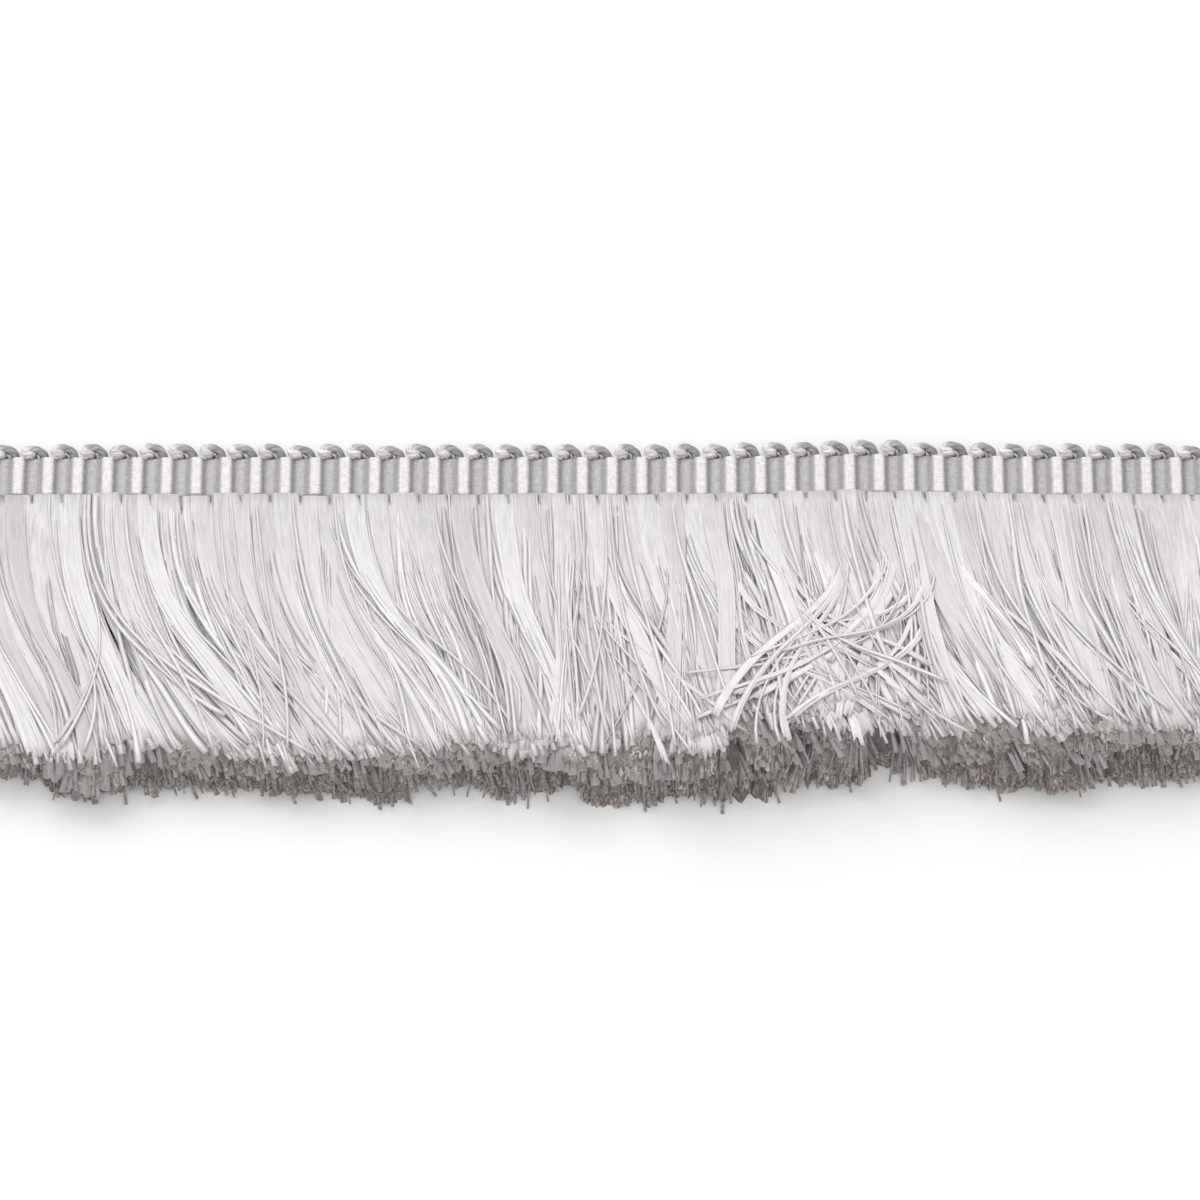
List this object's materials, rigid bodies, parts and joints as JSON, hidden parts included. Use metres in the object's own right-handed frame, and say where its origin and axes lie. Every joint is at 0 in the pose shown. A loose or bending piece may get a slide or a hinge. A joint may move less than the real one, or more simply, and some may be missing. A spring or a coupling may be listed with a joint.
{
  "type": "brush fringe trim",
  "caption": "Cut length of brush fringe trim: a ribbed heading tape, a twisted cord of small loops along its edge, and a thick skirt of cut silky strands.",
  "frame": {"origin": "middle of the heading tape's flat back face, which lies on the surface", "axes": "+X along the trim, +Z out of the heading's ribbed face, -Y towards the cut ends of the brush"},
  "size_m": [0.1924, 0.0569, 0.0111],
  "materials": {
    "heading": "ribbed satin weave",
    "cord": "silky twisted cord",
    "yarn": "silky cut floss"
  },
  "bodies": {
    "root": {"heading_tape": "heading", "loop_cord": "cord", "brush": "yarn"}
  },
  "joints": []
}
